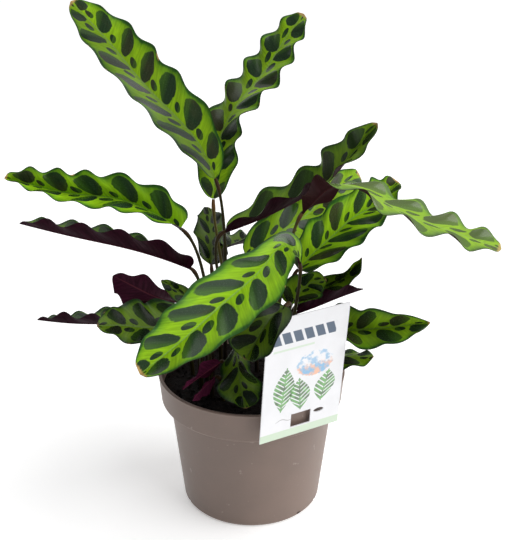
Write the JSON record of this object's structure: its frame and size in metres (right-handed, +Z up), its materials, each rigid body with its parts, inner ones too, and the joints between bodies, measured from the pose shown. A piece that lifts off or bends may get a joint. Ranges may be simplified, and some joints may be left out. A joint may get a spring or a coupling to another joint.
{
  "type": "potted rattlesnake plant",
  "caption": "Rattlesnake plant with long waved patterned leaves on slender stems, growing in a tapered nursery pot with a hanging care card",
  "frame": {"origin": "centre of the pot's flat base", "axes": "+Z up, -Y towards the side where the largest leaf bends forward, +X to the right seen from that side"},
  "size_m": [0.3153, 0.2662, 0.3649],
  "materials": {
    "pot": "satin taupe plastic",
    "soil": null,
    "label": "stiff white printed card",
    "leaf_a": null,
    "stem_a": null,
    "leaf_b": null,
    "stem_b": null,
    "leaf_d": null,
    "stem_d": null,
    "leaf_e": null,
    "stem_e": null,
    "leaf_f": null,
    "stem_f": null,
    "leaf_g": null,
    "stem_g": null,
    "leaf_h": null,
    "stem_h": null,
    "leaf_i": null,
    "stem_i": null,
    "leaf_j": null,
    "stem_j": null,
    "leaf_k": null,
    "stem_k": null,
    "leaf_l": null,
    "stem_l": null,
    "leaf_m": null,
    "stem_m": null,
    "leaf_n": null,
    "stem_n": null,
    "leaf_o": null,
    "stem_o": null,
    "leaf_p": null,
    "stem_p": null,
    "leaf_q": null,
    "stem_q": null,
    "leaf_r": null,
    "stem_r": null,
    "leaf_s": null,
    "stem_s": null,
    "leaf_t": null,
    "stem_t": null,
    "leaf_u": null,
    "stem_u": null,
    "leaf_v": null,
    "stem_v": null,
    "leaf_w": null,
    "stem_w": null,
    "leaf_x": null,
    "stem_x": null,
    "leaf_y": null,
    "stem_y": null
  },
  "bodies": {
    "root": {"pot": "pot", "soil": "soil", "label": "label", "leaf_a": "leaf_a", "stem_a": "stem_a", "leaf_b": "leaf_b", "stem_b": "stem_b", "leaf_d": "leaf_d", "stem_d": "stem_d", "leaf_e": "leaf_e", "stem_e": "stem_e", "leaf_f": "leaf_f", "stem_f": "stem_f", "leaf_g": "leaf_g", "stem_g": "stem_g", "leaf_h": "leaf_h", "stem_h": "stem_h", "leaf_i": "leaf_i", "stem_i": "stem_i", "leaf_j": "leaf_j", "stem_j": "stem_j", "leaf_k": "leaf_k", "stem_k": "stem_k", "leaf_l": "leaf_l", "stem_l": "stem_l", "leaf_m": "leaf_m", "stem_m": "stem_m", "leaf_n": "leaf_n", "stem_n": "stem_n", "leaf_o": "leaf_o", "stem_o": "stem_o", "leaf_p": "leaf_p", "stem_p": "stem_p", "leaf_q": "leaf_q", "stem_q": "stem_q", "leaf_r": "leaf_r", "stem_r": "stem_r", "leaf_s": "leaf_s", "stem_s": "stem_s", "leaf_t": "leaf_t", "stem_t": "stem_t", "leaf_u": "leaf_u", "stem_u": "stem_u", "leaf_v": "leaf_v", "stem_v": "stem_v", "leaf_w": "leaf_w", "stem_w": "stem_w", "leaf_x": "leaf_x", "stem_x": "stem_x", "leaf_y": "leaf_y", "stem_y": "stem_y"}
  },
  "joints": []
}
